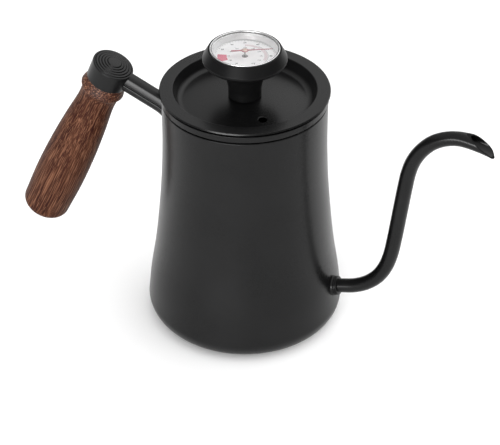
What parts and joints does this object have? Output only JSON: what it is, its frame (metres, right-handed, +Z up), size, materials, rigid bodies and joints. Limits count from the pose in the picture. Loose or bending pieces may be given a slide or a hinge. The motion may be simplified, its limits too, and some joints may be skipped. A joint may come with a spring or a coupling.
{
  "type": "gooseneck kettle",
  "caption": "Small pour-over kettle with a flared body, thin gooseneck spout, hanging turned grip and a lift-off lid whose knob carries a dial thermometer.",
  "frame": {"origin": "centre of the flat base plate's underside, on the surface that the kettle stands on", "axes": "+Z up, +X towards the spout, the handle on the -X side; the XZ plane is the plane of symmetry of body, spout and handle"},
  "size_m": [0.2316, 0.093, 0.1425],
  "materials": {
    "black_coat": "matte black powder coat",
    "knob_black": "fine matte black",
    "steel": "brushed stainless steel",
    "bezel_steel": "polished",
    "walnut": "oiled dark walnut",
    "dial_white": "satin white enamel with printed scale",
    "needle_red": "satin red",
    "glass": "clear flat glass",
    "silicone": "grey silicone",
    "bimetal": "bare bimetal strip"
  },
  "bodies": {
    "kettle": {"body_shell": "black_coat", "base_plate": "steel", "mouth_ring": "black_coat", "spout_tube": "black_coat", "spout_collar": "black_coat", "handle_boss": "black_coat", "handle_arm": "black_coat", "grip": "walnut", "grip_washer": "steel", "grip_bolt": "steel"},
    "lid": {"lid_pan": "black_coat", "lid_skirt": "steel", "lid_seal": "silicone", "knob": "knob_black", "knob_washer": "silicone", "knob_nut": "steel", "thermometer_case": "steel", "bezel_ring": "bezel_steel", "spacer_ring": "bezel_steel", "dial_plate": "dial_white", "dial_lens": "glass", "probe_tube": "bezel_steel", "bimetal_coil": "bimetal"},
    "pointer": {"needle": "needle_red", "needle_hub": "bezel_steel", "needle_shaft": "steel"}
  },
  "joints": [
    {"name": "lid_lift", "type": "slide", "parent": "kettle", "child": "lid", "axis": [0, 0, 1], "range_m": [0, 0.1]},
    {"name": "needle_turn", "type": "hinge", "parent": "lid", "child": "pointer", "pos_m": [0, 0, 0.1411], "axis": [0, 0, 1], "range_deg": [-66, 234]}
  ]
}
